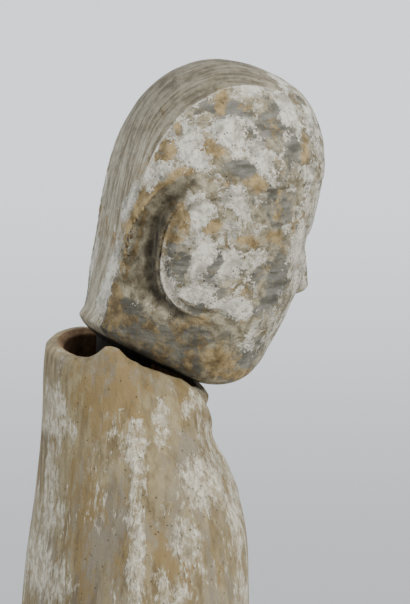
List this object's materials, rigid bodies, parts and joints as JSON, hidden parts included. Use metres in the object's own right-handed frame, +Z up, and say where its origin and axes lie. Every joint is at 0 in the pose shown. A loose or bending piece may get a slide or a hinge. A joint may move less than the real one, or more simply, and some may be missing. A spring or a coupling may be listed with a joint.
{
  "type": "painted pottery tomb figurine",
  "caption": "Standing robed attendant in painted grey and tan earthenware, its loose head tipped forward in the open neck of a hollow body.",
  "frame": {"origin": "centre of the low base on the surface it stands on", "axes": "+Z up along the standing figure, the figure faces -Y, its right side is -X"},
  "size_m": [0.1652, 0.124, 0.5608],
  "materials": {
    "robe_clay": "matte unglazed tan earthenware with worn white slip",
    "head_clay": "matte unglazed grey earthenware with flaked white slip"
  },
  "bodies": {
    "root": {"robed_body": "robe_clay", "head": "head_clay"}
  },
  "joints": []
}
